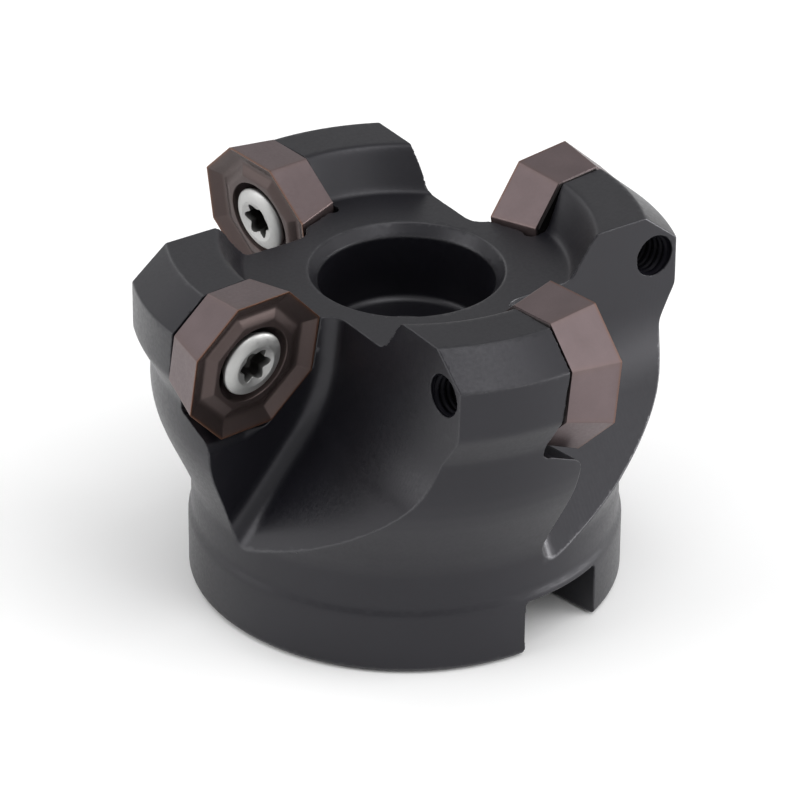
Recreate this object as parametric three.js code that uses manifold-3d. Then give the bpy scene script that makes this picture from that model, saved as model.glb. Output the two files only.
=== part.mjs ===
// Face mill: a cutter body on a shell-mill arbor seat, with four octagonal inserts and their clamping screws.
// Millimetres. The origin is the centre of the face that meets the arbor, +Z runs towards the cutting end,
// and X runs along the drive slot. Insert 1 sits over +X, and the others follow anticlockwise.

import * as THREE from 'three';
import * as BufferGeometryUtils from 'three/addons/utils/BufferGeometryUtils.js';
import Module from 'manifold-3d';

const wasm = await Module();
wasm.setup();

// ---- Driving dimensions -------------------------------------------------------------------------------------

const TEETH = 4;
const CUTTING_RADIUS = 25;       // at the outer end of the edge that wipes the finished face
const HEIGHT = 40;               // from the arbor face to that edge

const AXIAL_RAKE = THREE.MathUtils.degToRad(8.45);
const EDGE_TILT = THREE.MathUtils.degToRad(2);     // turns the 45 degree edge to a 43 degree entering angle
const RAKE_LEAD = 2.1;           // how far an insert's rake face stands ahead of the cutter's radius

const insertSize = {
  inscribedRadius: 15.875 / 2,
  thickness: 5.56,
  clearance: THREE.MathUtils.degToRad(15),
  boreRadius: 2.9,
  sinkRadius: 4.35,
  flatRadius: 5.65,      // inscribed radius of the flat that surrounds the screw
  flatDepth: 0.3,
  grooveRadius: 6.3,
  grooveDepth: 0.8,
};

const screwSize = {
  pitchRadius: 2.1,
  headRadius: 3.58,
  crown: 0.25,           // the head's dome stands this far out of the rake face
  rim: -0.55,
  length: 12.5,
  socketRadius: 1.96,
  socketDepth: 2.4,
};

const hub = { radius: 22.85, chamfer: 0.45, top: 6.8 };
const neck = { radius: 22.5, bottom: 8, top: 11.6 };
const waist = { radius: 26.55, bottom: 22.5, top: 27 };
const band = { radius: 28.4, bottom: 30.4, top: 35.8 };
const land = { inner: 19.3, outer: 24.7, z: 39.1 };
const ring = { outer: 16.8, z: 34.7 };

const bore = { radius: 11, depth: 20, chamfer: 0.5 };
const screwSeat = { radius: 9.2, floor: 26, lipRadius: 10.2, lipDepth: 1.2, holeRadius: 5.5 };
const driveSlot = { width: 10.4, depth: 6.3, chamfer: 0.3 };

const gullet = {
  wall: 11.8,            // from the cutter's axis to the upright part of the wall
  bendTop: 29.5,         // where the wall starts to sweep outwards
  bendRadius: 15,
  slope: THREE.MathUtils.degToRad(36),
  outwardDrift: 0.115,    // how far the wall moves away from the axis for each millimetre along the cut
  upwardDrift: 0.21,     // how far it climbs in that millimetre
  floorBelowRake: 0.3,
  fillet: 2.5,
};

const pocket = {
  gap: 0.35,
  footGap: 0.8,          // under the insert, which rests only on the pocket's two inner walls
  reliefRadius: 0.75,
};
const tapRadius = 2.25;

const LATHE_STEPS = 72;
const OCTAGON_STEPS = 40;
const FAR = 60;

// ---- Small helpers ------------------------------------------------------------------------------------------

function turned(points, steps) {
  const profile = [...points, points[0]].map(([r, z]) => new THREE.Vector2(r, z));
  return new THREE.LatheGeometry(profile, steps).rotateX(Math.PI / 2);
}

// Triangles that fill a flat outline and turn the same way round as it does.
function capTriangles(outline) {
  const flat = outline.map((p) => new THREE.Vector2(p.x, p.y));
  const faces = THREE.ShapeUtils.triangulateShape(flat, []);
  const firstFace = faces[0].map((i) => flat[i]);
  const agrees = THREE.ShapeUtils.area(firstFace) * THREE.ShapeUtils.area(flat) > 0;
  return agrees ? faces : faces.map((face) => [...face].reverse());
}

// A closed skin over rings of equal length. A tube of rings joins its last ring to its first; otherwise the two
// end rings, which are flat outlines seen along Z, are capped.
function skinned(rings, isTube) {
  const count = rings[0].length;
  const index = [];
  const spans = isTube ? rings.length : rings.length - 1;
  for (let i = 0; i < spans; i += 1) {
    const low = i * count;
    const high = ((i + 1) % rings.length) * count;
    for (let j = 0; j < count; j += 1) {
      const next = (j + 1) % count;
      index.push(low + j, low + next, high + next, low + j, high + next, high + j);
    }
  }
  if (!isTube) {
    const caps = [[rings[0], 0, true], [rings.at(-1), (rings.length - 1) * count, false]];
    for (const [outline, start, facesDown] of caps) {
      for (const [a, b, c] of capTriangles(outline)) {
        index.push(...(facesDown ? [start + c, start + b, start + a] : [start + a, start + b, start + c]));
      }
    }
  }
  const geometry = new THREE.BufferGeometry();
  geometry.setFromPoints(rings.flat());
  geometry.setIndex(index);
  return geometry;
}

function solidOf(geometry, matrix = new THREE.Matrix4()) {
  const bare = geometry.clone().applyMatrix4(matrix);
  bare.deleteAttribute('normal');
  bare.deleteAttribute('uv');
  const merged = BufferGeometryUtils.mergeVertices(bare, 1e-5);
  const vertProperties = new Float32Array(merged.getAttribute('position').array);
  const triVerts = new Uint32Array(merged.getIndex().array);
  const solid = new wasm.Manifold(new wasm.Mesh({ numProp: 3, vertProperties, triVerts }));
  if (solid.volume() > 0) return solid;
  return new wasm.Manifold(new wasm.Mesh({ numProp: 3, vertProperties, triVerts: triVerts.reverse() }));
}

function geometryOf(solid) {
  const mesh = solid.getMesh();
  const geometry = new THREE.BufferGeometry();
  geometry.setAttribute('position', new THREE.BufferAttribute(mesh.vertProperties, 3));
  geometry.setIndex(new THREE.BufferAttribute(mesh.triVerts, 1));
  geometry.computeVertexNormals();
  return geometry;
}

function named(name, geometry, material) {
  const mesh = new THREE.Mesh(geometry, material);
  mesh.name = name;
  return mesh;
}

// ---- Frames -------------------------------------------------------------------------------------------------

// A tooth's own frame has X out along its rake face's trace, Y the way the tooth moves, and Z up. The cut frame
// inside it has z along the rake face's normal, y up the rake face and x towards the cutter's axis.
const cutFrame = new THREE.Matrix4().makeBasis(
  new THREE.Vector3(-1, 0, 0),
  new THREE.Vector3(0, Math.sin(AXIAL_RAKE), Math.cos(AXIAL_RAKE)),
  new THREE.Vector3(0, Math.cos(AXIAL_RAKE), -Math.sin(AXIAL_RAKE)),
);

// The insert's centre follows from the wiping edge's outer end, which lies at the cutting radius and height.
function insertCentre() {
  const cornerRadius = insertSize.inscribedRadius / Math.cos(Math.PI / 8);
  const cornerAngle = THREE.MathUtils.degToRad(67.5) + EDGE_TILT;
  const outwards = cornerRadius * Math.cos(cornerAngle);
  const upFace = cornerRadius * Math.sin(cornerAngle);
  const edgeLead = RAKE_LEAD + upFace * Math.sin(AXIAL_RAKE);
  const radial = Math.sqrt(CUTTING_RADIUS ** 2 - edgeLead ** 2) - outwards;
  return new THREE.Vector3(radial, RAKE_LEAD, HEIGHT - upFace * Math.cos(AXIAL_RAKE));
}

const centre = insertCentre();
const centreInCut = centre.clone().applyMatrix4(cutFrame.clone().invert());
const centreAzimuth = Math.atan2(centre.y, centre.x);

function toothFrame(tooth) {
  return new THREE.Matrix4().makeRotationZ((tooth * 2 * Math.PI) / TEETH - centreAzimuth);
}

// The insert's own frame: origin at the centre of the rake face, z out of that face along the screw.
const insertFrame = cutFrame.clone()
  .multiply(new THREE.Matrix4().makeTranslation(centreInCut.x, centreInCut.y, centreInCut.z))
  .multiply(new THREE.Matrix4().makeRotationZ(-EDGE_TILT));

// ---- Cutter body --------------------------------------------------------------------------------------------

function bodyProfile() {
  return [
    [bore.radius + bore.chamfer, 0],
    [hub.radius - hub.chamfer, 0],
    [hub.radius, hub.chamfer],
    [hub.radius, hub.top],
    [neck.radius, neck.bottom],
    [neck.radius, neck.top],
    ...coneToWaist(),
    [waist.radius, waist.top],
    [band.radius, band.bottom],
    [band.radius, band.top],
    [land.outer, land.z],
    [land.inner, land.z],
    [ring.outer, ring.z],
    [screwSeat.lipRadius, ring.z],
    [screwSeat.radius, ring.z - screwSeat.lipDepth],
    [screwSeat.radius, screwSeat.floor],
    [screwSeat.holeRadius, screwSeat.floor],
    [screwSeat.holeRadius, bore.depth],
    [bore.radius, bore.depth],
    [bore.radius, bore.chamfer],
  ];
}

// The flare leaves the neck as a cone and turns upright into the waist.
function coneToWaist() {
  const start = new THREE.Vector2(neck.radius, neck.top);
  const end = new THREE.Vector2(waist.radius, waist.bottom);
  const bend = new THREE.Vector2(waist.radius, waist.bottom - 2.4);
  return new THREE.QuadraticBezierCurve(start, bend, end).getPoints(5).slice(1).map((p) => [p.x, p.y]);
}

// One side of a gullet's outline in the cut frame: an upright wall that sweeps outwards in an arc and a slope.
function gulletWall(inset) {
  const radius = gullet.bendRadius - inset;
  const arcCentre = new THREE.Vector2(-gullet.wall - gullet.bendRadius, gullet.bendTop);
  const wall = [new THREE.Vector2(arcCentre.x + radius, HEIGHT)];
  const steps = 6;
  for (let i = 0; i <= steps; i += 1) {
    const turn = (gullet.slope * i) / steps;
    wall.push(new THREE.Vector2(
      arcCentre.x + radius * Math.cos(turn),
      arcCentre.y - radius * Math.sin(turn),
    ));
  }
  const run = 24;
  wall.push(new THREE.Vector2(
    wall.at(-1).x - run * Math.sin(gullet.slope),
    wall.at(-1).y - run * Math.cos(gullet.slope),
  ));
  return wall;
}

function gulletRing(inset, height) {
  const along = height - centreInCut.z;
  const outwards = gullet.outwardDrift * along;
  const upwards = gullet.upwardDrift * (along - gullet.fillet);
  const wall = gulletWall(inset).map((p) => new THREE.Vector3(p.x - outwards, p.y + upwards, height));
  const foot = wall.at(-1);
  const head = wall[0].clone().setY(FAR);
  return [head, ...wall, new THREE.Vector3(-FAR, foot.y, height), new THREE.Vector3(-FAR, FAR, height)];
}

function gulletCutter() {
  const floor = centreInCut.z - gullet.floorBelowRake;
  const rings = [];
  const steps = 4;
  for (let i = 0; i <= steps; i += 1) {
    const turn = (Math.PI / 2) * (i / steps);
    const inset = gullet.fillet * (1 - Math.sin(turn));
    rings.push(gulletRing(inset, floor + gullet.fillet * (1 - Math.cos(turn))));
  }
  rings.push(gulletRing(0, FAR));
  return skinned(rings, false);
}

// The insert's pocket, in the insert's frame: two closed walls and the bevel between them, open outwards and up.
function pocketRing(z) {
  const inscribed = insertSize.inscribedRadius + z * Math.tan(insertSize.clearance);
  const half = inscribed + pocket.gap;
  const foot = inscribed + pocket.footGap;
  const corner = half * Math.tan(Math.PI / 8);
  const footCorner = half * Math.SQRT2 - foot;
  const outline = [[half, FAR], [half, -corner], [footCorner, -foot], [-FAR, -foot], [-FAR, FAR]];
  return outline.map(([x, y]) => new THREE.Vector3(x, y, z));
}

const seatDepth = -insertSize.thickness - 0.03;

function pocketCutter() {
  return skinned([pocketRing(seatDepth), pocketRing(gullet.fillet)], false);
}

// A round relief along the foot of one pocket wall. The wall stands at the given turn about the screw.
function reliefCutter(turn, start, end) {
  const half = insertSize.inscribedRadius + seatDepth * Math.tan(insertSize.clearance) + pocket.gap;
  const groove = new THREE.CylinderGeometry(pocket.reliefRadius, pocket.reliefRadius, end - start, 12);
  groove.translate(half, (start + end) / 2, seatDepth + pocket.reliefRadius);
  return groove.rotateZ(turn);
}

function tapCutter() {
  return new THREE.CylinderGeometry(tapRadius, tapRadius, 40, 20).rotateX(Math.PI / 2);
}

function slotCutter() {
  const half = driveSlot.width / 2;
  const mouth = half + driveSlot.chamfer;
  const outline = new THREE.Shape([[-mouth, -1], [mouth, -1], [mouth, 0], [half, driveSlot.chamfer],
    [half, driveSlot.depth], [-half, driveSlot.depth], [-half, driveSlot.chamfer], [-mouth, 0],
  ].map(([across, up]) => new THREE.Vector2(across, up)));
  const slot = new THREE.ExtrudeGeometry(outline, { depth: 2 * FAR, bevelEnabled: false });
  return slot.translate(0, 0, -FAR).rotateX(Math.PI / 2).rotateZ(Math.PI / 2);
}

function cutterBody() {
  let body = solidOf(turned(bodyProfile(), LATHE_STEPS));
  body = body.subtract(solidOf(slotCutter()));
  const corner = insertSize.inscribedRadius * Math.tan(Math.PI / 8);
  for (let tooth = 0; tooth < TEETH; tooth += 1) {
    const toTooth = toothFrame(tooth);
    const toCut = toTooth.clone().multiply(cutFrame);
    const toInsert = toTooth.clone().multiply(insertFrame);
    body = body.subtract(solidOf(gulletCutter(), toCut));
    body = body.subtract(solidOf(pocketCutter(), toInsert));
    body = body.subtract(solidOf(tapCutter(), toInsert));
    body = body.subtract(solidOf(reliefCutter(0, -corner + 1, 20), toInsert));
    body = body.subtract(solidOf(reliefCutter(-Math.PI / 2, -20, corner - 1), toInsert));
  }
  return geometryOf(body);
}

// ---- Insert -------------------------------------------------------------------------------------------------

function octagonRing(inscribed, z) {
  const ring = [];
  for (let i = 0; i < OCTAGON_STEPS; i += 1) {
    const angle = Math.PI / 8 + (2 * Math.PI * i) / OCTAGON_STEPS;
    const fromSide = ((angle + Math.PI / 8) % (Math.PI / 4)) - Math.PI / 8;
    const radius = inscribed / Math.cos(fromSide);
    ring.push(new THREE.Vector3(radius * Math.cos(angle), radius * Math.sin(angle), z));
  }
  return ring;
}

function circleRing(radius, z) {
  const ring = [];
  for (let i = 0; i < OCTAGON_STEPS; i += 1) {
    const angle = Math.PI / 8 + (2 * Math.PI * i) / OCTAGON_STEPS;
    ring.push(new THREE.Vector3(radius * Math.cos(angle), radius * Math.sin(angle), z));
  }
  return ring;
}

// The rake face falls from the cutting edge into a groove and rises to a flat that surrounds the screw.
function insertGeometry() {
  const { inscribedRadius, thickness, clearance, boreRadius, sinkRadius } = insertSize;
  const { flatRadius, flatDepth, grooveRadius, grooveDepth } = insertSize;
  const back = inscribedRadius - thickness * Math.tan(clearance);
  return skinned([
    octagonRing(back - 0.25, -thickness),
    octagonRing(back + 0.25 * Math.tan(clearance), -thickness + 0.25),
    octagonRing(inscribedRadius, 0),
    octagonRing(inscribedRadius - 0.3, -0.03),
    octagonRing(grooveRadius, -grooveDepth),
    octagonRing(flatRadius, -flatDepth),
    circleRing(sinkRadius, -flatDepth),
    circleRing(boreRadius, -3.1),
    circleRing(boreRadius, -thickness),
  ], true);
}

// ---- Screw --------------------------------------------------------------------------------------------------

// A six-lobed outline, between its lobes' tips and the hollows between them.
function socketRing(scale, z) {
  const steps = 24;
  const ring = [];
  for (let i = 0; i < steps; i += 1) {
    const angle = (2 * Math.PI * i) / steps;
    const radius = screwSize.socketRadius * scale * (0.86 + 0.14 * Math.cos(6 * angle));
    ring.push(new THREE.Vector3(radius * Math.cos(angle), radius * Math.sin(angle), z));
  }
  return ring;
}

function screwGeometry() {
  const { pitchRadius, headRadius, crown, rim, length, socketDepth } = screwSize;
  const coneEnd = rim - (headRadius - pitchRadius) * 1.5;
  const profile = [
    [0, crown],
    [2.1, crown - 0.12],
    [3.1, crown - 0.38],
    [headRadius, rim + 0.15],
    [headRadius, rim],
    [pitchRadius, coneEnd],
    [pitchRadius, crown - length + 0.5],
    [pitchRadius - 0.5, crown - length],
    [0, crown - length],
  ];
  const blank = solidOf(turned(profile, 32));
  const floor = crown - socketDepth;
  const socket = skinned([socketRing(0.8, floor), socketRing(1, floor + 0.3), socketRing(1, crown + 1)], false);
  return geometryOf(blank.subtract(solidOf(socket)));
}

// ---- Assembly -----------------------------------------------------------------------------------------------

const blackSteel = new THREE.MeshStandardMaterial({ color: 0x2f3033, metalness: 0.8, roughness: 0.45 });
const coatedCarbide = new THREE.MeshStandardMaterial({ color: 0x6f5550, metalness: 0.6, roughness: 0.4 });
const brightSteel = new THREE.MeshStandardMaterial({ color: 0xa8a9ab, metalness: 0.9, roughness: 0.3 });

function mountedInsert(tooth) {
  const group = new THREE.Group();
  group.applyMatrix4(toothFrame(tooth).multiply(insertFrame));
  group.add(named(`insert_${tooth + 1}`, insertGeometry(), coatedCarbide));
  group.add(named(`insert_screw_${tooth + 1}`, screwGeometry(), brightSteel));
  return group;
}

const faceMill = new THREE.Group();
faceMill.add(named('cutter_body', cutterBody(), blackSteel));
for (let tooth = 0; tooth < TEETH; tooth += 1) {
  faceMill.add(mountedInsert(tooth));
}

export default faceMill;
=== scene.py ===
import math

import bpy
import numpy as np
from mathutils import Matrix, Vector


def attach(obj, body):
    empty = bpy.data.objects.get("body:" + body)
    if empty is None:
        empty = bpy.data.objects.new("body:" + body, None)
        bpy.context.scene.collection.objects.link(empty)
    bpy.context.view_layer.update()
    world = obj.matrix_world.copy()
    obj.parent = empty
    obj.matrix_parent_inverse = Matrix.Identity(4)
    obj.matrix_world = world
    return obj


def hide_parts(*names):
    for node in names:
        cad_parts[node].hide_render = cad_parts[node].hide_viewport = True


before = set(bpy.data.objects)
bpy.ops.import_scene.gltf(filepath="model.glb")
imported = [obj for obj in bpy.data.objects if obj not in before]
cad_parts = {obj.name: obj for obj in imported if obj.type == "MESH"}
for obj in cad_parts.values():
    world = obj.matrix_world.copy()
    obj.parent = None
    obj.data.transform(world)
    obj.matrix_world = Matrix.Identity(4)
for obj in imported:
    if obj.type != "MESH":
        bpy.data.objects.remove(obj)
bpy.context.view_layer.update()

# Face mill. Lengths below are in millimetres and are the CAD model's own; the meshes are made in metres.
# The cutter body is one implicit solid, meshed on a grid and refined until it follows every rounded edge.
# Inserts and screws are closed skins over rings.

# ---- Driving dimensions -------------------------------------------------------------------------------------

MM = 0.001
TEETH = 4
CUTTING_RADIUS = 25.0
HEIGHT = 40.0
AXIAL_RAKE = math.radians(8.45)
EDGE_TILT = math.radians(2.0)
RAKE_LEAD = 2.1
THREAD_PITCH = 0.8
THREAD_STEEPNESS = 2.2
THREAD_FLAT = 0.6
TAP_ROOT = 2.18
TAP_CREST = 1.92
SCREW_CREST = 2.10
SCREW_ROOT = 1.80
SHANK_END = 0.25 - 12.5     # how deep the screw's tip lies below the rake face

HUB_RADIUS = 22.85
HUB_CHAMFER = 0.45
OUTLINE = [            # height and radius of the body's side, from the hub up to the band
    (0.0, 22.85), (6.8, 22.85), (7.3, 22.5), (11.3, 22.5), (12.6, 22.85), (14.8, 23.75), (17.0, 24.75),
    (18.8, 25.55), (20.4, 26.12), (22.0, 26.45), (23.5, 26.55), (26.8, 26.55), (30.4, 28.4), (42.0, 28.4),
]
TOP = [                # radius and height of the body's top, from the counterbore out to the land
    (0.0, 34.7), (16.8, 34.7), (19.3, 39.1), (40.0, 39.1),
]
LAND_EDGE = (24.7, 39.1)
BAND_EDGE = (28.4, 35.8)

BORE_RADIUS = 11.0
BORE_DEPTH = 20.0
BORE_CHAMFER = 0.5
SEAT_RADIUS = 9.2
SEAT_FLOOR = 26.0
SEAT_FILLET = 0.9
LIP_START = 33.5
LIP_RUN = 1.0 / 1.2
HOLE_RADIUS = 5.5
SLOT_HALF_WIDTH = 5.2
SLOT_DEPTH = 6.3
SLOT_CHAMFER = 0.3

GULLET_WALL = 11.8
GULLET_BEND_TOP = 29.5
GULLET_BEND_RADIUS = 15.0
GULLET_SLOPE = math.radians(36)
GULLET_OUTWARD_DRIFT = 0.115
GULLET_UPWARD_DRIFT = 0.21
GULLET_FLOOR = 0.3
GULLET_FILLET = 2.5

POCKET_GAP = 0.35
POCKET_FOOT_GAP = 0.8      # under the insert, which rests only on the pocket's two inner walls
RELIEF_RADIUS = 0.75
TAP_RADIUS = 2.21
EDGE_ROUND = 0.13         # on the edges between large surfaces
FINE_ROUND = 0.07         # on the edges of the pockets, reliefs and tapped holes
FOOT_ROUND = 1.1          # where a pocket's lower wall meets the floor of its own gullet

INSERT_INSCRIBED = 15.875 / 2
INSERT_THICKNESS = 5.56
INSERT_CLEARANCE = math.tan(math.radians(15))
SEAT_DEPTH = -INSERT_THICKNESS - 0.03
TOOTH_THINNEST = 1.5      # along the tapped hole, from the insert's seat to the back of the tooth
TOOTH_THICKEST = 16.0
SLEEVE_POINTS = 48
SLEEVE_RINGS = 60

GRID_LOW = (-31.0, -31.0, -1.27)
GRID_HIGH = (31.0, 31.0, 40.9)
GRID_STEP = 0.6
SURFACE_TOLERANCE = 0.014
REFINEMENTS = 4


# ---- Frames -------------------------------------------------------------------------------------------------

def insert_centre():
    corner = INSERT_INSCRIBED / math.cos(math.pi / 8)
    angle = math.radians(67.5) + EDGE_TILT
    up_face = corner * math.sin(angle)
    lead = RAKE_LEAD + up_face * math.sin(AXIAL_RAKE)
    radial = math.sqrt(CUTTING_RADIUS ** 2 - lead ** 2) - corner * math.cos(angle)
    return np.array([radial, RAKE_LEAD, HEIGHT - up_face * math.cos(AXIAL_RAKE)])


CENTRE = insert_centre()
CENTRE_AZIMUTH = math.atan2(CENTRE[1], CENTRE[0])


def turn_z(angle):
    c, s = math.cos(angle), math.sin(angle)
    return np.array([[c, -s, 0.0], [s, c, 0.0], [0.0, 0.0, 1.0]])


# Columns: towards the axis, up the rake face, and out of it.
CUT_AXES = np.array([
    [-1.0, 0.0, 0.0],
    [0.0, math.sin(AXIAL_RAKE), math.cos(AXIAL_RAKE)],
    [0.0, math.cos(AXIAL_RAKE), -math.sin(AXIAL_RAKE)],
])


def tooth_turn(tooth):
    return turn_z(tooth * 2 * math.pi / TEETH - CENTRE_AZIMUTH)


def insert_axes(tooth):
    return tooth_turn(tooth) @ CUT_AXES @ turn_z(-EDGE_TILT)


def insert_origin(tooth):
    return tooth_turn(tooth) @ CENTRE


def from_insert(points, tooth):
    return points @ insert_axes(tooth).T + insert_origin(tooth)


# ---- Implicit solids: a field is negative inside the material -----------------------------------------------

def cut_round(fields, radius):
    """The material common to all fields, with its outside edges rounded."""
    stack = np.stack(fields)
    over = np.maximum(stack + radius, 0.0)
    return np.minimum(stack.max(0), -radius) + np.sqrt((over ** 2).sum(0))


def join_round(a, b, radius):
    """The material of either field, with a fillet where they meet."""
    under = np.hypot(np.maximum(radius - a, 0.0), np.maximum(radius - b, 0.0))
    return np.maximum(np.minimum(a, b), radius) - under


def smooth_table(knots, softness):
    """A finely sampled curve through the knots, softened over the given length, and its slope."""
    step = 0.02
    at = np.arange(knots[0][0] - 4.0, knots[-1][0] + 4.0, step)
    value = np.interp(at, *zip(*knots))
    reach = np.arange(-3 * softness, 3 * softness + step, step)
    weight = np.exp(-0.5 * (reach / softness) ** 2)
    value = np.convolve(np.pad(value, len(reach) // 2, mode="edge"), weight / weight.sum(), mode="valid")
    value = value[:len(at)]
    return at, value, np.gradient(value, step)


SIDE_TABLE = smooth_table(OUTLINE, 0.35)
TOP_TABLE = smooth_table(TOP, 0.28)


def turned_fields(x, y, z):
    r = np.hypot(x, y)
    at, radius, slope = SIDE_TABLE
    side = (r - np.interp(z, at, radius)) / np.sqrt(1 + np.interp(z, at, slope) ** 2)
    at, height, slope = TOP_TABLE
    top = (z - np.interp(r, at, height)) / np.sqrt(1 + np.interp(r, at, slope) ** 2)
    fall, run = LAND_EDGE[1] - BAND_EDGE[1], BAND_EDGE[0] - LAND_EDGE[0]
    chamfer = ((r - LAND_EDGE[0]) * fall + (z - LAND_EDGE[1]) * run) / math.hypot(fall, run)
    foot = (r - z - HUB_RADIUS + HUB_CHAMFER) / math.sqrt(2)
    bore = join_round(BORE_RADIUS - r, BORE_DEPTH - z, 0.4)
    bore_mouth = (BORE_RADIUS + BORE_CHAMFER - z - r) / math.sqrt(2)
    seat = join_round(SEAT_RADIUS - r, z - SEAT_FLOOR, SEAT_FILLET)
    lip = (SEAT_RADIUS + (z - LIP_START) * LIP_RUN - r) / math.hypot(1, LIP_RUN)
    slot = join_round(SLOT_HALF_WIDTH - np.abs(y), SLOT_DEPTH - z, 0.5)
    slot_mouth = (SLOT_HALF_WIDTH + SLOT_CHAMFER - z - np.abs(y)) / math.sqrt(2)
    return [side, top, chamfer, foot, -z, bore, bore_mouth, seat, lip, HOLE_RADIUS - r, slot, slot_mouth]


def gullet_field(cut):
    """An upright wall that bends outwards in an arc and ends in a slope; a fillet joins it to the floor."""
    along = cut[:, 2] - CENTRE_IN_CUT[2]
    out = -cut[:, 0] - GULLET_OUTWARD_DRIFT * along - GULLET_WALL - GULLET_BEND_RADIUS
    up = cut[:, 1] - GULLET_UPWARD_DRIFT * (along - GULLET_FILLET) - GULLET_BEND_TOP
    c, s = math.cos(GULLET_SLOPE), math.sin(GULLET_SLOPE)
    on_arc = (up < 0) & (out * s < up * c)
    reach = np.where(on_arc, np.hypot(out, up), np.maximum(-out, -out * c - up * s))
    return join_round(GULLET_BEND_RADIUS - reach, along + GULLET_FLOOR, GULLET_FILLET)


FIELDS_IN_POCKET = 4      # the pocket, its two reliefs and, last, the tapped hole


def pocket_fields(p, gullet):
    """The surfaces cut for one insert, and the blend from the pocket's lower wall into its gullet."""
    x, y, z = p.T
    half = INSERT_INSCRIBED + np.minimum(z, 0.0) * INSERT_CLEARANCE + POCKET_GAP
    foot_half = half - POCKET_GAP + POCKET_FOOT_GAP
    walls = join_round(half - x, foot_half + y, 0.3)
    walls = join_round(walls, half - (x - y) / math.sqrt(2), 0.3)
    pocket = join_round(walls * math.cos(math.radians(15)), z - SEAT_DEPTH, 0.12)
    pocket = np.minimum(pocket, 1.2 - z)
    back = INSERT_INSCRIBED + SEAT_DEPTH * INSERT_CLEARANCE
    corner = INSERT_INSCRIBED * math.tan(math.pi / 8) - 1.0
    lift = z - SEAT_DEPTH - RELIEF_RADIUS
    inner = np.minimum(RELIEF_RADIUS - np.hypot(x - back - POCKET_GAP, lift), y + corner)
    lower = np.minimum(RELIEF_RADIUS - np.hypot(y + back + POCKET_GAP, lift), corner - x)
    tap = TAP_RADIUS - np.hypot(x, y)
    blend = FOOT_ROUND * np.clip((corner + 0.5 - x) / 2.5, 0.05, 1.0)
    foot = cut_round([gullet, pocket], blend)
    return [pocket, inner, lower, tap], foot


CENTRE_IN_CUT = CUT_AXES.T @ CENTRE


def body_fields(p):
    """The large surfaces of the body, its small ones, and the blends at the feet of the pockets."""
    large = turned_fields(*p.T)
    small = []
    feet = []
    for tooth in range(TEETH):
        cut = p @ (tooth_turn(tooth) @ CUT_AXES)
        large.append(gullet_field(cut))
        cuts, foot = pocket_fields((cut - CENTRE_IN_CUT) @ turn_z(-EDGE_TILT), large[-1])
        small.extend(cuts)
        feet.append(foot)
    return large, small, feet


def body_field(p):
    large, small, feet = body_fields(p)
    edged = cut_round([cut_round(large, EDGE_ROUND), *small], FINE_ROUND)
    return np.maximum(edged, np.stack(feet).max(0))


# ---- Meshing an implicit solid ------------------------------------------------------------------------------

def gradient(field, p, step=0.01):
    slopes = []
    for axis in range(3):
        shift = np.zeros(3)
        shift[axis] = step
        slopes.append((field(p + shift) - field(p - shift)) / (2 * step))
    return np.stack(slopes, axis=1)


def settle(field, p, rounds, limit):
    """Moves points on to the surface along the field's slope."""
    for _ in range(rounds):
        slope = gradient(field, p)
        size = np.maximum((slope ** 2).sum(1), 0.05)
        move = -field(p)[:, None] * slope / size[:, None]
        length = np.linalg.norm(move, axis=1, keepdims=True)
        p = p + move * np.minimum(1.0, limit / np.maximum(length, 1e-9))
    return p


def edge_crossings(value, axis):
    """The grid edges along an axis that cross the surface, where they do, and which of them start inside."""
    head = [slice(None)] * 3
    tail = [slice(None)] * 3
    head[axis] = slice(1, None)
    tail[axis] = slice(None, -1)
    a, b = value[tuple(tail)], value[tuple(head)]
    crossed = (a < 0) != (b < 0)
    edges = np.argwhere(crossed)
    points = edges.astype(float)
    points[:, axis] += (a / np.where(crossed, a - b, 1.0))[crossed]
    return edges, points, (a < 0)[crossed]


def cells_round(edges, axis):
    """The four cells that share each edge, one array after another."""
    across = [k for k in range(3) if k != axis]
    for shift in ((0, 0), (0, -1), (-1, 0), (-1, -1)):
        cells = edges.copy()
        cells[:, across] += shift
        yield cells


def split_quads(points, quads):
    """Two triangles for each quad, cut along its shorter diagonal."""
    first = np.linalg.norm(points[quads[:, 0]] - points[quads[:, 2]], axis=1)
    second = np.linalg.norm(points[quads[:, 1]] - points[quads[:, 3]], axis=1)
    quads = np.where((first > second)[:, None], np.roll(quads, 1, axis=1), quads)
    return [quads[:, [0, 1, 2]], quads[:, [0, 2, 3]]]


def grid_surface(field, low, high, step):
    """Surface nets: a point in each grid cell that the surface crosses, and a quad for each crossed edge."""
    axes = [np.arange(a, b + step, step) for a, b in zip(low, high)]
    shape = tuple(len(a) for a in axes)
    nodes = np.stack(np.meshgrid(*axes, indexing="ij"), axis=-1).reshape(-1, 3)
    value = np.concatenate([field(part) for part in np.array_split(nodes, 24)]).reshape(shape)
    crossings = [edge_crossings(value, axis) for axis in range(3)]

    grid = tuple(n - 1 for n in shape)
    total = np.zeros((*grid, 3))
    count = np.zeros(grid)
    for axis, (edges, crossing, _) in enumerate(crossings):
        for cells in cells_round(edges, axis):
            fits = np.all((cells >= 0) & (cells < grid), axis=1)
            index = tuple(cells[fits].T)
            np.add.at(total, index, crossing[fits])
            np.add.at(count, index, 1)
    used = count > 0
    points = total[used] / count[used][:, None] * step + np.array(low)

    number = np.full(grid, -1)
    number[used] = np.arange(used.sum())
    triangles = []
    for axis, (edges, _, starts_inside) in enumerate(crossings):
        quads = np.stack([number[tuple(cells.T)] for cells in cells_round(edges, axis)], axis=1)
        quads = quads[:, [0, 2, 3, 1]]
        keeps = starts_inside if axis != 1 else ~starts_inside
        quads[~keeps] = quads[~keeps][:, ::-1]
        triangles += split_quads(points, quads)
    return points, np.concatenate(triangles)


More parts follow.
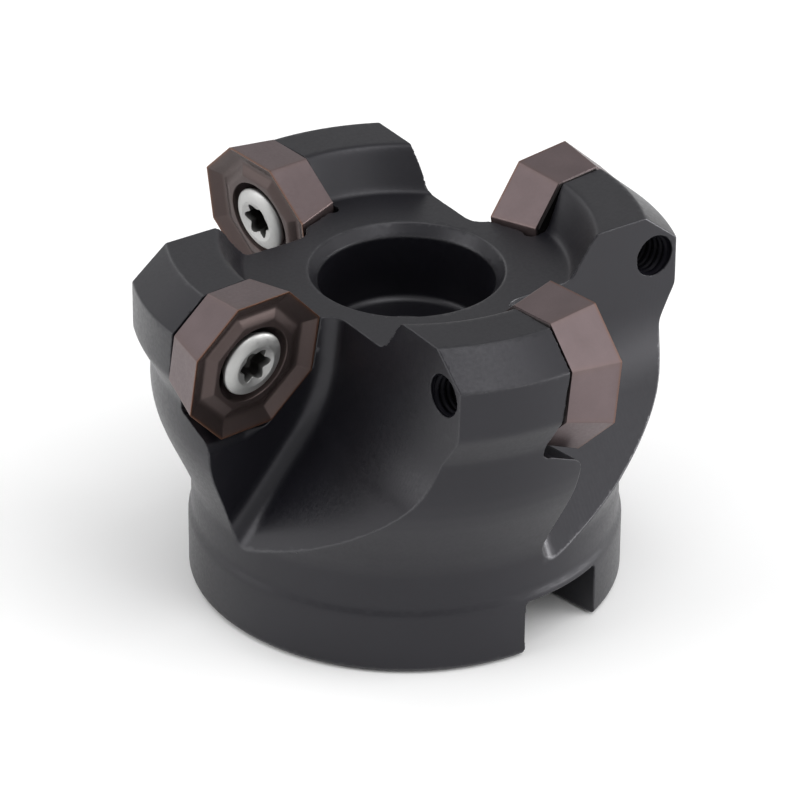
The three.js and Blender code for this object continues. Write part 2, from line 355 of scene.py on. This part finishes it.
def relaxed(points, triangles):
    """Each point at the middle of its neighbours."""
    total = np.zeros_like(points)
    count = np.zeros(len(points))
    for a, b in ((0, 1), (1, 2), (2, 0)):
        for i, j in ((a, b), (b, a)):
            np.add.at(total, triangles[:, i], points[triangles[:, j]])
            np.add.at(count, triangles[:, i], 1)
    return total / count[:, None]


def split_triangles(points, triangles, mid):
    """Cuts up the triangles. mid holds the new point on each of a triangle's sides, or -1."""
    pattern = (mid >= 0) @ np.array([1, 2, 4])
    made = [triangles[pattern == 0]]
    for a in range(3):
        b, c = (a + 1) % 3, (a + 2) % 3
        one = pattern == 1 << a
        t, m = triangles[one], mid[one]
        made += [np.stack([t[:, a], m[:, a], t[:, c]], 1), np.stack([m[:, a], t[:, b], t[:, c]], 1)]
        two = pattern == (1 << a) + (1 << b)
        t, m = triangles[two], mid[two]
        made.append(np.stack([m[:, a], t[:, b], m[:, b]], 1))
        from_a = np.linalg.norm(points[m[:, a]] - points[t[:, c]], axis=1)
        from_b = np.linalg.norm(points[m[:, b]] - points[t[:, a]], axis=1)
        pick = from_a < from_b
        made += [
            np.stack([t[pick, a], m[pick, a], t[pick, c]], 1),
            np.stack([m[pick, a], m[pick, b], t[pick, c]], 1),
            np.stack([t[~pick, a], m[~pick, a], m[~pick, b]], 1),
            np.stack([t[~pick, a], m[~pick, b], t[~pick, c]], 1),
        ]
    every = pattern == 7
    t, m = triangles[every], mid[every]
    for side in range(3):
        made.append(np.stack([t[:, side], m[:, side], m[:, side - 1]], 1))
    return np.concatenate([*made, m])


def refine_once(field, points, triangles, tolerance):
    """Splits each edge whose middle is off the surface, and puts the new point on it."""
    sides = np.concatenate([triangles[:, [0, 1]], triangles[:, [1, 2]], triangles[:, [2, 0]]])
    edges, which = np.unique(np.sort(sides, axis=1), axis=0, return_inverse=True)
    middle = points[edges].mean(1)
    length = np.linalg.norm(points[edges[:, 0]] - points[edges[:, 1]], axis=1)
    split = (np.abs(field(middle)) > tolerance) & (length > 6 * tolerance)
    new = np.full(len(edges), -1)
    new[split] = len(points) + np.arange(split.sum())
    points = np.concatenate([points, settle(field, middle[split], 3, 0.15)])
    return points, split_triangles(points, triangles, new[which.reshape(3, -1).T])


def implicit_mesh(field):
    points, triangles = grid_surface(field, GRID_LOW, GRID_HIGH, GRID_STEP)
    points = settle(field, points, 2, GRID_STEP / 2)
    points = settle(field, relaxed(points, triangles), 3, GRID_STEP / 2)
    for _ in range(REFINEMENTS):
        points, triangles = refine_once(field, points, triangles, SURFACE_TOLERANCE)
    return points, triangles


# ---- Skins over rings ---------------------------------------------------------------------------------------

def skin(rings, closed):
    """Triangles over rings of equal length; a closed skin joins the last ring to the first."""
    count = len(rings[0])
    points = np.concatenate(rings)
    spans = len(rings) if closed else len(rings) - 1
    j = np.arange(count)
    k = (j + 1) % count
    faces = []
    for i in range(spans):
        low = i * count
        high = (i + 1) % len(rings) * count
        faces += [np.stack([low + j, low + k, high + k], 1), np.stack([low + j, high + k, high + j], 1)]
    return points, np.concatenate(faces)


def area_normals(points, triangles):
    """Vertex normals in which the larger faces count for more, so flats stay flat beside a bevel."""
    a, b, c = (points[triangles[:, i]] for i in range(3))
    face = np.cross(b - a, c - a)
    total = np.zeros_like(points)
    for i in range(3):
        np.add.at(total, triangles[:, i], face)
    return total / np.maximum(np.linalg.norm(total, axis=1, keepdims=True), 1e-12)


def build(name, points, triangles, normals, marks, material):
    """A mesh object from arrays in millimetres. marks are named values at the vertices."""
    mesh = bpy.data.meshes.new(name)
    mesh.vertices.add(len(points))
    mesh.vertices.foreach_set("co", (points * MM).astype(np.float32).ravel())
    mesh.loops.add(triangles.size)
    mesh.loops.foreach_set("vertex_index", triangles.astype(np.int32).ravel())
    mesh.polygons.add(len(triangles))
    mesh.polygons.foreach_set("loop_start", np.arange(0, triangles.size, 3, dtype=np.int32))
    mesh.update(calc_edges=True)
    mesh.polygons.foreach_set("use_smooth", np.ones(len(triangles), bool))
    mesh.normals_split_custom_set_from_vertices(normals.astype(np.float32).tolist())
    for mark, values in marks.items():
        layer = mesh.attributes.new(mark, "FLOAT", "POINT")
        layer.data.foreach_set("value", values.astype(np.float32))
    mesh.materials.append(material)
    obj = bpy.data.objects.new(name, mesh)
    bpy.context.scene.collection.objects.link(obj)
    return obj


# ---- Cutter body --------------------------------------------------------------------------------------------

def edge_mark(fields, radius):
    """0 on a plain surface and 1 in the middle of a rounded edge."""
    over = np.sort(np.maximum(np.stack(fields) + radius, 0.0), axis=0)
    return over[-2] / np.maximum(over[-1], 1e-9)


def body_marks(points):
    """Which surface a point lies on: an edge, a gullet and how far along it, or a tapped hole, which gets a
    low specular level.
    """
    gullets = []
    along = []
    for tooth in range(TEETH):
        cut = points @ (tooth_turn(tooth) @ CUT_AXES)
        gullets.append(gullet_field(cut))
        along.append(cut[:, 2] - CENTRE_IN_CUT[2])
    gullets = np.stack(gullets)
    nearest = gullets.argmax(0)
    pick = (nearest, np.arange(len(points)))
    large, small, _ = body_fields(points)
    return {
        "edge": edge_mark(large + small, EDGE_ROUND * 1.3),
        "gullet": np.clip(1 + gullets[pick] / 0.3, 0.0, 1.0),
        "along": np.stack(along)[pick],
        "hole": (np.stack(small[FIELDS_IN_POCKET - 1::FIELDS_IN_POCKET]).max(0) > -0.06).astype(float),
    }


def tap_end(tooth, angle, radius):
    """Where the back of the tooth ends, on each line along the tapped hole at the given radius."""
    ring = np.stack([radius * np.cos(angle), radius * np.sin(angle)], axis=1)

    def outside(depth):
        large = body_fields(from_insert(np.column_stack([ring, depth]), tooth))[0]
        return cut_round(large, EDGE_ROUND) > 0

    steps = np.arange(SEAT_DEPTH - TOOTH_THINNEST, SEAT_DEPTH - TOOTH_THICKEST, -0.25)
    clear = np.stack([outside(np.full(len(angle), depth)) for depth in steps])
    first = clear.argmax(0)
    low, high = steps[first], steps[first - 1]
    for _ in range(12):
        middle = (low + high) / 2
        out = outside(middle)
        low, high = np.where(out, middle, low), np.where(out, high, middle)
    return high


def thread_radius(angle, depth, root, crest):
    """A right-hand thread's radius, with flanks that are straight and crests that are blunt."""
    phase = (angle / (2 * math.pi) - depth / THREAD_PITCH) % 1.0
    wave = np.clip(THREAD_STEEPNESS * (1 - np.abs(2 * phase - 1)) - THREAD_FLAT, 0.0, 1.0)
    return root + (crest - root) * wave


def tap_lining(tooth):
    """The threads of one tapped hole: a closed sleeve let into the hole's wall."""
    angle = np.arange(SLEEVE_POINTS) * 2 * math.pi / SLEEVE_POINTS
    end = np.maximum(tap_end(tooth, angle, TAP_RADIUS + 0.1), tap_end(tooth, angle, TAP_CREST))
    end = np.max([np.roll(end, shift) for shift in range(-4, 5)], axis=0) + 0.25
    start = np.full(SLEEVE_POINTS, SHANK_END + 1.0)
    wall = TAP_RADIUS - 0.01
    rings = []
    for share in np.linspace(0, 1, SLEEVE_RINGS):
        depth = start + (end - start) * share
        run_out = min(1.0, (1 - share) * 8)
        r = wall - run_out * (wall - thread_radius(angle, depth, TAP_CREST, TAP_ROOT))
        rings.append(np.column_stack([r * np.cos(angle), r * np.sin(angle), depth]))
    r = TAP_RADIUS + 0.05
    for depth in (end, start):
        rings.append(np.column_stack([r * np.cos(angle), r * np.sin(angle), depth]))
    points, triangles = skin(rings, True)
    return from_insert(points, tooth), triangles


def cutter_body(material):
    points, triangles = implicit_mesh(body_field)
    normals = gradient(body_field, points)
    normals /= np.linalg.norm(normals, axis=1, keepdims=True)
    marks = body_marks(points)
    for tooth in range(TEETH):
        sleeve, faces = tap_lining(tooth)
        normals = np.concatenate([normals, area_normals(sleeve, faces)])
        triangles = np.concatenate([triangles, faces + len(points)])
        points = np.concatenate([points, sleeve])
        fill = {"hole": np.ones(len(sleeve))}
        plain = np.zeros(len(sleeve))
        marks = {key: np.concatenate([old, fill.get(key, plain)]) for key, old in marks.items()}
    body = build("cutter_body_finished", points, triangles, normals, marks, material)
    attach(body, "cutter")
    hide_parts("cutter_body")


# ---- Inserts ------------------------------------------------------------------------------------------------

FLAT_POINTS = 11
ARC_POINTS = 5
FLANK_HEIGHTS = (-4.6, -3.4, -2.2, -1.0, -0.3, -0.06)
# The step's dark line is partly a painted shadow: coated_carbide colours the step near-black for the gap
# behind the insert.
BACK_STEP = -INSERT_THICKNESS + 0.21     # a narrow step runs round the back edge, and shows as a dark line


def octagon(inscribed, z, corner):
    """An octagon with rounded corners, as a ring of points that starts at a corner."""
    reach = (inscribed - corner) / math.cos(math.pi / 8)
    ring = []
    for side in range(8):
        middle = math.pi / 4 * side
        turn = middle + math.pi / 8 + np.linspace(-math.pi / 8, math.pi / 8, ARC_POINTS)
        hub = np.array([math.cos(middle + math.pi / 8), math.sin(middle + math.pi / 8)]) * reach
        arc = hub + corner * np.column_stack([np.cos(turn), np.sin(turn)])
        next_hub = turn_z(math.pi / 4)[:2, :2] @ hub
        last = next_hub + corner * np.array([math.cos(turn[-1]), math.sin(turn[-1])])
        share = np.linspace(0, 1, FLAT_POINTS + 2)[1:-1, None]
        ring += [arc, arc[-1] + (last - arc[-1]) * share]
    ring = np.concatenate(ring)
    return np.column_stack([ring, np.full(len(ring), z)])


def circle_like(radius, z):
    """A circle with its points in the directions of an octagon's."""
    ring = octagon(1.0, z, 0.03)
    ring[:, :2] *= radius / np.linalg.norm(ring[:, :2], axis=1, keepdims=True)
    return ring


# Inscribed radius and height of the rake face, from the cutting edge in to the flat round the screw.
CHIP_GROOVE = [
    (7.93, -0.010), (7.915, -0.001), (7.89, 0.0), (7.80, -0.006), (7.74, -0.022), (7.66, -0.06),
    (7.30, -0.27), (6.90, -0.51), (6.50, -0.74), (6.36, -0.80), (6.20, -0.84), (6.02, -0.845),
    (5.86, -0.81), (5.72, -0.74), (5.55, -0.65), (5.25, -0.49), (5.00, -0.375), (4.90, -0.335),
    (4.82, -0.31), (4.74, -0.30), (4.68, -0.298),
]
SCREW_HOLE = [(4.42, -0.298), (4.37, -0.305), (4.33, -0.34), (4.30, -0.42), (4.22, -0.7), (4.02, -1.2),
              (3.66, -1.9), (3.2, -2.7), (2.98, -3.1), (2.9, -3.35), (2.9, -5.3), (3.0, -5.52), (3.05, -5.56)]


def insert_rings():
    back = INSERT_INSCRIBED - INSERT_THICKNESS * INSERT_CLEARANCE
    rings = [
        octagon(back - 0.30, -INSERT_THICKNESS, 0.3),
        octagon(back - 0.27, -INSERT_THICKNESS + 0.01, 0.3),
        octagon(back - 0.25, BACK_STEP - 0.01, 0.3),
        octagon(back + 0.042, BACK_STEP - 0.005, 0.3),
        octagon(back + 0.056, BACK_STEP, 0.3),
    ]
    for z in FLANK_HEIGHTS:
        rings.append(octagon(INSERT_INSCRIBED + z * INSERT_CLEARANCE, z, 0.28))
    rings.append(octagon(INSERT_INSCRIBED - 0.002, -0.026, 0.28))
    for radius, z in CHIP_GROOVE:
        rings.append(octagon(radius, z, 0.28 + 0.3 * (INSERT_INSCRIBED - radius) / INSERT_INSCRIBED))
    flat, hole = rings[-1], circle_like(*SCREW_HOLE[0])
    rings += [flat * (1 - share) + hole * share for share in (0.3, 0.65, 0.92)]
    rings += [circle_like(radius, z) for radius, z in SCREW_HOLE]
    return rings


def insert_marks(points):
    """Where a point lies: on the cutting rim, a corner, the rake face, or the step round the back, which gets
    painted shadow.
    """
    x, y, z = points.T
    r = np.hypot(x, y)
    angle = (np.arctan2(y, x) + math.pi / 8) % (math.pi / 4) - math.pi / 8
    across = r * np.cos(angle)
    side = INSERT_INSCRIBED + z * INSERT_CLEARANCE
    rim = np.clip(1.2 - (INSERT_INSCRIBED - across) / 0.28, 0, 1) * np.clip(1.1 + z / 0.12, 0, 1)
    corner = np.clip(1 - (side / math.cos(math.pi / 8) - r) / 0.22, 0, 1) * (z > -5.5)
    rake = np.clip(1 + (z + 0.9) / 0.1, 0, 1) * np.clip((side - across) / 0.15, 0, 1)
    # The step round the back is marked for painted shadow, a near-black colour for the shade of the gap behind
    # the insert.
    step = np.clip((BACK_STEP - z) / 0.01, 0, 1)
    return {"rim": rim, "corner": corner, "rake": rake, "step": step}


def insert(tooth, material):
    points, triangles = skin(insert_rings(), True)
    marks = insert_marks(points)
    points = from_insert(points, tooth)
    name = f"insert_{tooth + 1}"
    piece = build(name + "_finished", points, triangles, area_normals(points, triangles), marks, material)
    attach(piece, name)
    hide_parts(name)


# ---- Clamping screws ----------------------------------------------------------------------------------------

SCREW_POINTS = 96
SOCKET_RADIUS = 1.98
SOCKET_INNER = 1.42
SOCKET_MOUTH = 2.28
HEAD_TOP = [(3.58, -0.62), (3.58, -0.50), (3.565, -0.44), (3.53, -0.37), (3.46, -0.29), (3.34, -0.20),
            (3.14, -0.09), (2.9, 0.02), (2.66, 0.10), (2.46, 0.15), (2.36, 0.168), (2.31, 0.172)]
HEAD_CONE = [(3.58, -0.62), (3.56, -0.68), (3.48, -0.80), (2.5, -2.27), (2.12, -2.75), (1.9, -2.95),
             (1.8, -3.1)]
THREAD_START = -4.0
THREAD_RUN_OUT = -6.0


def turned_ring(radius, z, angle):
    return np.column_stack([radius * np.cos(angle), radius * np.sin(angle), np.broadcast_to(z, len(angle))])


def socket_outline(angle):
    """A six-lobe socket: round tips, joined by rounder hollows."""
    lobe = 0.5 + 0.5 * np.cos(6 * angle)
    return SOCKET_INNER + (SOCKET_RADIUS - SOCKET_INNER) * lobe ** 0.9


def shank_rings(angle):
    """The flat tip and the thread, which runs in at the tip and out below the head."""
    rings = [turned_ring(0.02, SHANK_END, angle), turned_ring(1.2, SHANK_END, angle),
             turned_ring(1.55, SHANK_END + 0.02, angle), turned_ring(1.62, SHANK_END + 0.08, angle)]
    count = int((THREAD_START - SHANK_END) / THREAD_PITCH * 12)
    for depth in np.linspace(SHANK_END + 0.15, THREAD_START, count):
        point = min(1.0, (depth - SHANK_END) / 0.9)
        radius = thread_radius(angle, depth, SCREW_ROOT, SCREW_CREST)
        radius = np.minimum(radius, 1.66 + 0.7 * point)
        if depth > THREAD_RUN_OUT:
            run_out = np.clip(min(point, (THREAD_START - depth) / 0.8), 0.0, 1.0)
            radius = SCREW_ROOT + (radius - SCREW_ROOT) * run_out
        rings.append(turned_ring(radius, depth, angle))
    return rings


def socket_rings(angle):
    """The dished mouth of the socket, its lobed wall and its floor."""
    outline = socket_outline(angle)
    mouths = [SOCKET_MOUTH * (1 - share) + outline * share for share in (0.0, 0.08, 0.3, 0.6, 0.9, 1.0)]
    rings = [turned_ring(mouth, dish_height(mouth), angle) for mouth in mouths]
    for sink, scale in ((0.03, 0.99), (0.08, 0.984), (0.8, 0.98), (1.6, 0.98)):
        rings.append(turned_ring(outline * scale, dish_height(outline) - sink, angle))
    for z, scale in ((-1.95, 1.0), (-2.05, 0.93), (-2.2, 0.5), (-2.32, 0.02)):
        rings.append(turned_ring(outline * 0.97 * scale, z, angle))
    return rings


def dish_height(radius):
    return 0.165 - 0.36 * (SOCKET_MOUTH - radius)


def screw_rings():
    angle = np.arange(SCREW_POINTS) * 2 * math.pi / SCREW_POINTS
    rings = shank_rings(angle)
    rings += [turned_ring(radius, z, angle) for radius, z in reversed(HEAD_CONE)]
    rings += [turned_ring(radius, z, angle) for radius, z in HEAD_TOP[1:]]
    return rings + socket_rings(angle)


def closed_ends(points, triangles, count):
    """Fills the two tiny end rings of an open skin."""
    first = np.array([[0, j + 1, j] for j in range(1, count - 1)])
    last = len(points) - count + first[:, ::-1]
    return np.concatenate([triangles, first, last])


def screw(tooth, material):
    points, triangles = skin(screw_rings(), False)
    triangles = closed_ends(points, triangles, SCREW_POINTS)
    r = np.hypot(points[:, 0], points[:, 1])
    height = points[:, 2]
    # Painted shade: a mask over the socket, which is coloured dark for the shade inside it.
    socket_painted_shade = np.clip((SOCKET_MOUTH - r) / 0.3, 0, 1) * (height > -2.5) * np.clip(-height / 0.8, 0, 1)
    points = from_insert(points, tooth)
    name = f"insert_screw_{tooth + 1}"
    normals = area_normals(points, triangles)
    piece = build(name + "_finished", points, triangles, normals, {"socket": socket_painted_shade}, material)
    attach(piece, name)
    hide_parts(name)


# ---- Materials ----------------------------------------------------------------------------------------------

TURNING_FEED_UP = 0.00021        # metres between tool marks, up the side and across the top
TURNING_FEED_ACROSS = 0.00017
MILLING_FEED = 0.45              # millimetres between the marks along a gullet


class Nodes:
    """A small helper that adds shader nodes and links them."""

    def __init__(self, name):
        self.material = bpy.data.materials.new(name)
        self.material.use_nodes = True
        self.tree = self.material.node_tree
        self.shader = self.tree.nodes["Principled BSDF"]

    def put(self, socket, value):
        if isinstance(value, bpy.types.NodeSocket):
            self.tree.links.new(value, socket)
        else:
            socket.default_value = value

    def node(self, kind, inputs=(), **settings):
        made = self.tree.nodes.new(kind)
        for key, value in settings.items():
            setattr(made, key, value)
        for key, value in dict(inputs).items():
            self.put(made.inputs[key], value)
        return made

    def math(self, operation, a, b=0.0):
        return self.node("ShaderNodeMath", {0: a, 1: b}, operation=operation).outputs[0]

    def mark(self, name):
        return self.node("ShaderNodeAttribute", attribute_name=name).outputs["Fac"]

    def place(self):
        return self.node("ShaderNodeTexCoord").outputs["Object"]

    def noise(self, scale, detail):
        inputs = {"Vector": self.place(), "Scale": scale, "Detail": detail}
        return self.node("ShaderNodeTexNoise", inputs).outputs["Fac"]

    def spread(self, value, low, high, to_low, to_high):
        return self.node("ShaderNodeMapRange", {
            "Value": value, "From Min": low, "From Max": high, "To Min": to_low, "To Max": to_high,
        }).outputs[0]

    def mix(self, share, a, b):
        made = self.node("ShaderNodeMix", data_type="RGBA")
        self.put(made.inputs[0], share)
        self.put(made.inputs[6], a)
        self.put(made.inputs[7], b)
        return made.outputs[2]

    def bump(self, height, strength, distance, normal=None):
        made = self.node("ShaderNodeBump", {"Height": height, "Strength": strength, "Distance": distance})
        if normal:
            self.put(made.inputs["Normal"], normal)
        return made.outputs[0]


def black_oxide():
    """Black oxide on fine-turned and milled steel, lighter along the edges: partly rubbed wear, partly a
    painted highlight.
    """
    n = Nodes("black_oxide_steel")
    cloud = n.noise(90, 4.0)
    grain = n.noise(2600, 2.0)
    darker, lighter = (0.0044, 0.0042, 0.0062, 1), (0.0062, 0.0060, 0.0086, 1)
    base = n.mix(n.spread(cloud, 0.35, 0.65, 0.0, 1.0), darker, lighter)
    # Lighter colour on the rounded edges: partly wear, partly a painted highlight for edges catching the
    # light.
    worn = n.math("MULTIPLY", n.math("POWER", n.mark("edge"), 2.0), n.spread(cloud, 0.3, 0.7, 0.35, 0.9))
    n.put(n.shader.inputs["Base Color"], n.mix(worn, base, (0.060, 0.060, 0.063, 1)))
    n.put(n.shader.inputs["Specular IOR Level"], n.spread(n.mark("hole"), 0.0, 1.0, 0.44, 0.06))
    n.put(n.shader.inputs["Specular Tint"], (0.96, 0.95, 1.0, 1))
    milled = n.math("MULTIPLY", n.mark("gullet"), -0.03)
    n.put(n.shader.inputs["Roughness"], n.math("ADD", n.spread(grain, 0.3, 0.7, 0.32, 0.41), milled))
    split = n.node("ShaderNodeSeparateXYZ", {0: n.place()})
    radius = n.math("SQRT", n.math("ADD", n.math("POWER", split.outputs[0], 2.0),
                                   n.math("POWER", split.outputs[1], 2.0)))
    feed = n.math("ADD", n.math("DIVIDE", split.outputs[2], TURNING_FEED_UP),
                  n.math("DIVIDE", radius, TURNING_FEED_ACROSS))
    turning = n.math("SINE", n.math("MULTIPLY", feed, 2 * math.pi))
    gullet = n.mark("gullet")
    steps = n.math("SINE", n.math("MULTIPLY", n.mark("along"), 2 * math.pi / MILLING_FEED))
    turned_share = n.spread(gullet, 0.0, 1.0, 0.35, 0.0)
    milled_share = n.math("MULTIPLY", gullet, n.spread(cloud, 0.4, 0.65, 0.1, 0.5))
    marks = n.math("ADD", n.math("MULTIPLY", turning, turned_share), n.math("MULTIPLY", steps, milled_share))
    lined = n.bump(marks, 0.10, 0.00002)
    n.put(n.shader.inputs["Normal"], n.bump(grain, 0.10, 0.00002, lined))
    return n.material


def coated_carbide():
    """A mauve-brown hard coating, coppery along the cutting edges, over ground and pressed carbide."""
    n = Nodes("coated_carbide")
    cloud = n.noise(260, 4.0)
    grain = n.noise(3200, 2.0)
    flank = n.mix(n.spread(cloud, 0.3, 0.7, 0.0, 1.0), (0.124, 0.095, 0.097, 1), (0.148, 0.113, 0.116, 1))
    base = n.mix(n.mark("rake"), flank, (0.078, 0.058, 0.055, 1))
    worn = n.mix(n.math("MULTIPLY", n.mark("corner"), 0.35), base, (0.150, 0.105, 0.095, 1))
    rim = n.math("MULTIPLY", n.mark("rim"), 0.85)
    edged = n.mix(rim, worn, (0.150, 0.066, 0.034, 1))
    # Painted shadow: the step round the back edge is coloured near-black for the shade in the gap between
    # insert and seat.
    n.put(n.shader.inputs["Base Color"], n.mix(n.mark("step"), edged, (0.006, 0.005, 0.005, 1)))
    n.put(n.shader.inputs["Metallic"], 0.8)
    n.put(n.shader.inputs["Roughness"], n.spread(grain, 0.3, 0.7, 0.34, 0.44))
    n.put(n.shader.inputs["Normal"], n.bump(grain, 0.12, 0.00002))
    return n.material


def bright_steel():
    """Satin steel with a fine grain; the socket is painted darker, a painted shade for its deep recess."""
    n = Nodes("bright_steel")
    grain = n.noise(2400, 2.0)
    # The socket's dark colour is painted shade for the deep recess.
    base = n.mix(n.mark("socket"), (0.45, 0.45, 0.442, 1), (0.055, 0.053, 0.050, 1))
    n.put(n.shader.inputs["Base Color"], base)
    n.put(n.shader.inputs["Metallic"], 0.9)
    n.put(n.shader.inputs["Roughness"], n.spread(grain, 0.3, 0.7, 0.40, 0.52))
    n.put(n.shader.inputs["Normal"], n.bump(grain, 0.15, 0.00002))
    return n.material


# ---- Camera, floor and light --------------------------------------------------------------------------------

CAMERA_AZIMUTH = math.radians(43.61)
CAMERA_FALL = math.radians(30.054)
CAMERA_DISTANCE = 499.02
CAMERA_AIM = 19.081
CAMERA_SIDE = -0.591
CAMERA_ROLL = math.radians(0.434)
SENSOR = 36.0
FOCAL_IN_WIDTHS = 4787.0 / 800


def place_camera():
    turn = turn_z(CAMERA_AZIMUTH)
    c, s = math.cos(CAMERA_FALL), math.sin(CAMERA_FALL)
    right, up, ahead = np.array([1.0, 0, 0]), np.array([0, s, c]), np.array([0, c, -s])
    spot = np.array([CAMERA_SIDE, 0, CAMERA_AIM]) - CAMERA_DISTANCE * ahead
    rc, rs = math.cos(CAMERA_ROLL), math.sin(CAMERA_ROLL)
    axes = np.stack([rc * right + rs * up, -rs * right + rc * up, -ahead], axis=1)
    data = bpy.data.cameras.new("camera")
    data.sensor_width = SENSOR
    data.lens = SENSOR * FOCAL_IN_WIDTHS
    data.clip_end = 20
    camera = bpy.data.objects.new("camera", data)
    matrix = Matrix((turn @ axes).tolist()).to_4x4()
    matrix.translation = Vector((turn @ spot * MM).tolist())
    camera.matrix_world = matrix
    bpy.context.scene.collection.objects.link(camera)
    bpy.context.scene.camera = camera


SOFTBOX_DISTANCE = 0.8
SOFTBOXES = [                # name, azimuth, elevation, size in metres and power in watts
    ("top", 0, 85, (0.6, 0.6), 0.9),
    ("left", -75, 30, (0.5, 0.5), 1.8),
    ("right", 80, 28, (0.5, 0.5), 0.8),
    ("front", 40, 32, (0.4, 0.5), 0.6),
    ("high_right", 50, 62, (0.4, 0.4), 1.3),
    ("low_left", -90, 6, (0.6, 0.3), 0.9),
    ("low_right", 92, 6, (0.6, 0.3), 6.5),
    ("back", -135, 35, (0.5, 0.5), 0.6),
]


def softbox(name, azimuth, elevation, size, power):
    """An area light aimed at the object. Azimuth 0 is on the camera's side, and 90 is to its right."""
    a = math.radians(azimuth) + CAMERA_AZIMUTH
    e = math.radians(elevation)
    back = Vector((math.sin(a) * math.cos(e), -math.cos(a) * math.cos(e), math.sin(e)))
    data = bpy.data.lights.new(f"softbox_{name}", "AREA")
    data.shape = "RECTANGLE"
    data.size, data.size_y = size
    data.energy = power
    light = bpy.data.objects.new(f"softbox_{name}", data)
    light.location = Vector((0, 0, 0.02)) + back * SOFTBOX_DISTANCE
    light.rotation_mode = "QUATERNION"
    light.rotation_quaternion = back.to_track_quat("Z", "Y")
    bpy.context.scene.collection.objects.link(light)


def studio():
    world = bpy.data.worlds.new("studio")
    world.use_nodes = True
    background = world.node_tree.nodes["Background"]
    background.inputs["Color"].default_value = (1, 1, 1, 1)
    background.inputs["Strength"].default_value = 0.585
    bpy.context.scene.world = world
    bpy.context.scene.view_settings.view_transform = "Standard"
    for box in SOFTBOXES:
        softbox(*box)


def plain_floor():
    half = 4.0
    mesh = bpy.data.meshes.new("floor")
    corners = [(-half, -half, 0), (half, -half, 0), (half, half, 0), (-half, half, 0)]
    mesh.from_pydata(corners, [], [(0, 1, 2, 3)])
    n = Nodes("floor")
    shade = n.spread(n.noise(3.0, 1.0), 0.3, 0.7, 0.95, 0.97)
    grey = n.node("ShaderNodeCombineColor", {0: shade, 1: shade, 2: shade}).outputs[0]
    n.put(n.shader.inputs["Base Color"], grey)
    n.put(n.shader.inputs["Roughness"], 0.9)
    mesh.materials.append(n.material)
    floor = bpy.data.objects.new("floor", mesh)
    floor.location.z = -0.0001
    bpy.context.scene.collection.objects.link(floor)


# ---- The whole scene ----------------------------------------------------------------------------------------

place_camera()
plain_floor()
studio()
cutter_body(black_oxide())
carbide = coated_carbide()
steel = bright_steel()
for tooth in range(TEETH):
    insert(tooth, carbide)
    screw(tooth, steel)
